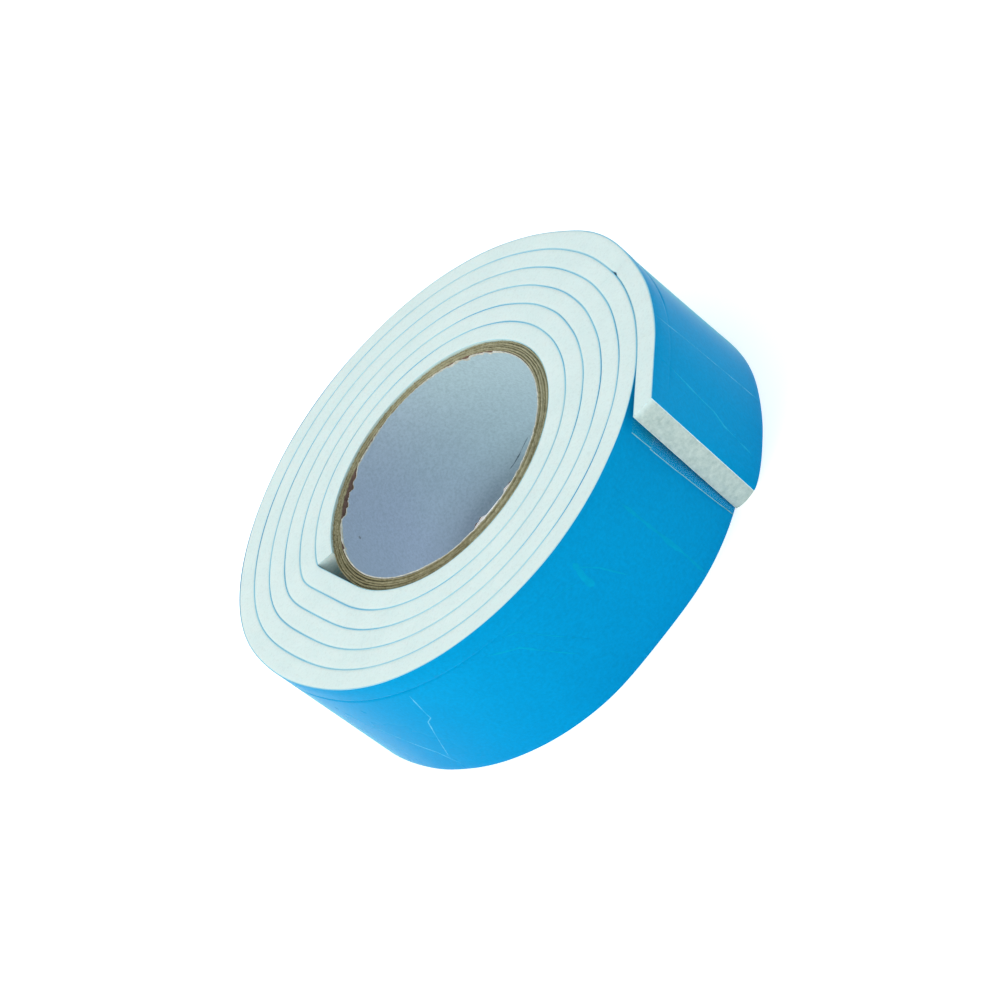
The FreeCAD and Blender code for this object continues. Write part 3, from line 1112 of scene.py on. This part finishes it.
# ---------------------------------------------------------------- studio


def soft_light(name, place, width, power, colour=(1, 1, 1)):
    """Round soft light aimed at the roll."""
    light = bpy.data.lights.new(name, "AREA")
    light.shape = "DISK"
    light.size = width
    light.energy = power
    light.color = colour
    lamp = bpy.data.objects.new(name, light)
    lamp.location = place
    lamp.rotation_euler = (-Vector(place)).to_track_quat("-Z", "Y").to_euler()
    bpy.context.scene.collection.objects.link(lamp)


def soft_world(strong, weak):
    """Soft light from all round, weaker and a little more blue-green from the +X side."""
    world = bpy.data.worlds.new("studio")
    world.use_nodes = True
    tree = world.node_tree
    direction = tree.nodes.new("ShaderNodeTexCoord").outputs["Generated"]
    split = tree.nodes.new("ShaderNodeSeparateXYZ")
    slope = tree.nodes.new("ShaderNodeMapRange")
    slope.inputs["From Min"].default_value = -1.0
    slope.inputs["From Max"].default_value = 1.0
    slope.inputs["To Min"].default_value = strong
    slope.inputs["To Max"].default_value = weak
    tint = tree.nodes.new("ShaderNodeValToRGB")
    tint.color_ramp.elements[0].color = (0.98, 0.985, 1.0, 1.0)
    tint.color_ramp.elements[1].color = (0.86, 1.0, 1.0, 1.0)
    background = tree.nodes["Background"]
    tree.links.new(direction, split.inputs[0])
    tree.links.new(split.outputs["X"], slope.inputs["Value"])
    tree.links.new(split.outputs["X"], tint.inputs["Fac"])
    tree.links.new(tint.outputs["Color"], background.inputs["Color"])
    tree.links.new(slope.outputs["Result"], background.inputs["Strength"])
    return world


# Camera: its place, and the directions of its picture's right side and top.
CAMERA_PLACE = Vector((1.37165, -326.26284, 221.60697))
CAMERA_RIGHT = Vector((0.61595711, -0.42647802, -0.66235438))
CAMERA_UP = Vector((0.78777969, 0.33345893, 0.51788832))
CAMERA_LENS = 95.3337

FLOOR_HALF = 2.6
FLOOR_DROP = 0.00002


def studio():
    """Pale floor, soft light from above and all round, and the camera."""
    half = FLOOR_HALF
    floor_mesh = bpy.data.meshes.new("studio_floor")
    floor_mesh.from_pydata([(-half, -half, 0), (half, -half, 0), (half, half, 0), (-half, half, 0)],
                           [], [(0, 1, 2, 3)])
    floor = bpy.data.objects.new("studio_floor", floor_mesh)
    floor.location.z = -FLOOR_DROP
    floor_mesh.materials.append(MATERIALS["floor"])
    bpy.context.scene.collection.objects.link(floor)

    bpy.context.scene.world = soft_world(0.8, 0.56)

    soft_light("softbox_above", (0.0, 0.05, 0.75), 0.7, 1.1)
    soft_light("softbox_side", (-0.7, -0.25, 0.35), 0.6, 2.8, (1.0, 0.93, 0.8))

    camera = bpy.data.cameras.new("camera")
    camera.sensor_width = 36.0
    camera.lens = CAMERA_LENS
    camera.clip_start = 0.01
    camera.clip_end = 20.0
    eye = bpy.data.objects.new("camera", camera)
    back = CAMERA_RIGHT.cross(CAMERA_UP)
    turn = Matrix((CAMERA_RIGHT, CAMERA_UP, back)).transposed().to_4x4()
    eye.matrix_world = Matrix.Translation(CAMERA_PLACE * MM) @ turn
    bpy.context.scene.collection.objects.link(eye)
    bpy.context.scene.camera = eye
    bpy.context.scene.view_settings.view_transform = "Standard"


studio()
for layer_name in LAYERS:
    wound_piece(layer_name)
    for stretch in range(1, len(HINGES) + 1):
        tail_piece(layer_name, stretch)
flap_piece()
starter_film()
creases()
core_pieces()
